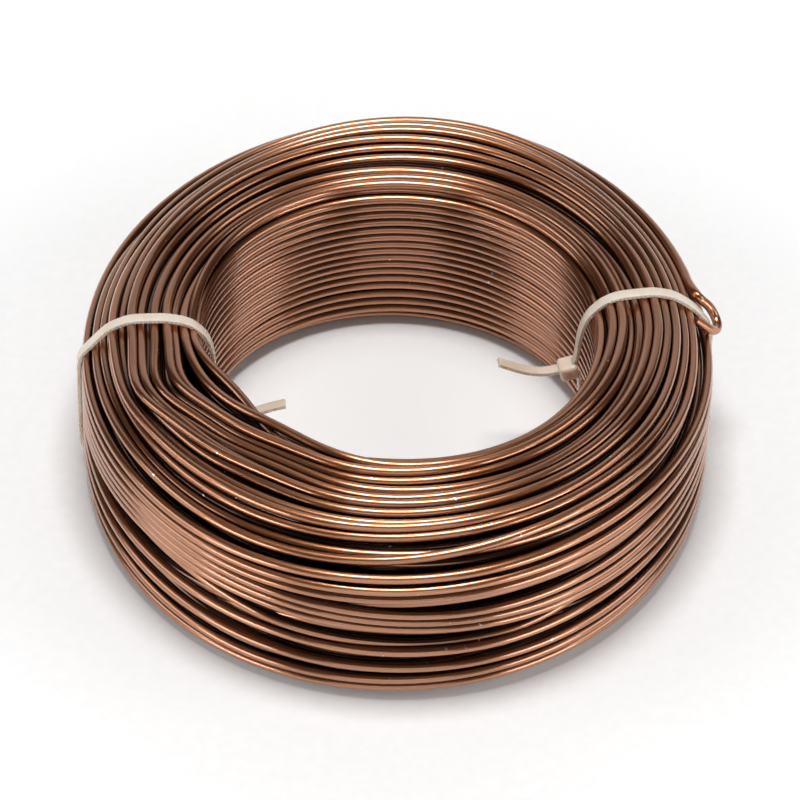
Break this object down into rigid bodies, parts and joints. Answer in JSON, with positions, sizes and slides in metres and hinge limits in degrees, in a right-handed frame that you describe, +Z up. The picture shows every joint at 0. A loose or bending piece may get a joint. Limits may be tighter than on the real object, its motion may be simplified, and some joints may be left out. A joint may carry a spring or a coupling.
{
  "type": "coil of aluminium craft wire",
  "caption": "Flat-lying coil of round brown anodised aluminium wire with a round eye, bound by two pale nylon cable ties, its loose end hooked round one tie.",
  "frame": {"origin": "on the coil's axis, at the floor that it lies on", "axes": "+Z up along the coil's axis; +X towards the side of the right tie and the wire's loose end; +Y towards the back"},
  "size_m": [0.1357, 0.132, 0.0412],
  "materials": {
    "wire": "brown anodised, satin, finely drawn",
    "nylon": "natural nylon, slightly translucent"
  },
  "bodies": {
    "root": {"wire_coil": "wire", "cable_tie_left": "nylon", "cable_tie_right": "nylon"}
  },
  "joints": []
}
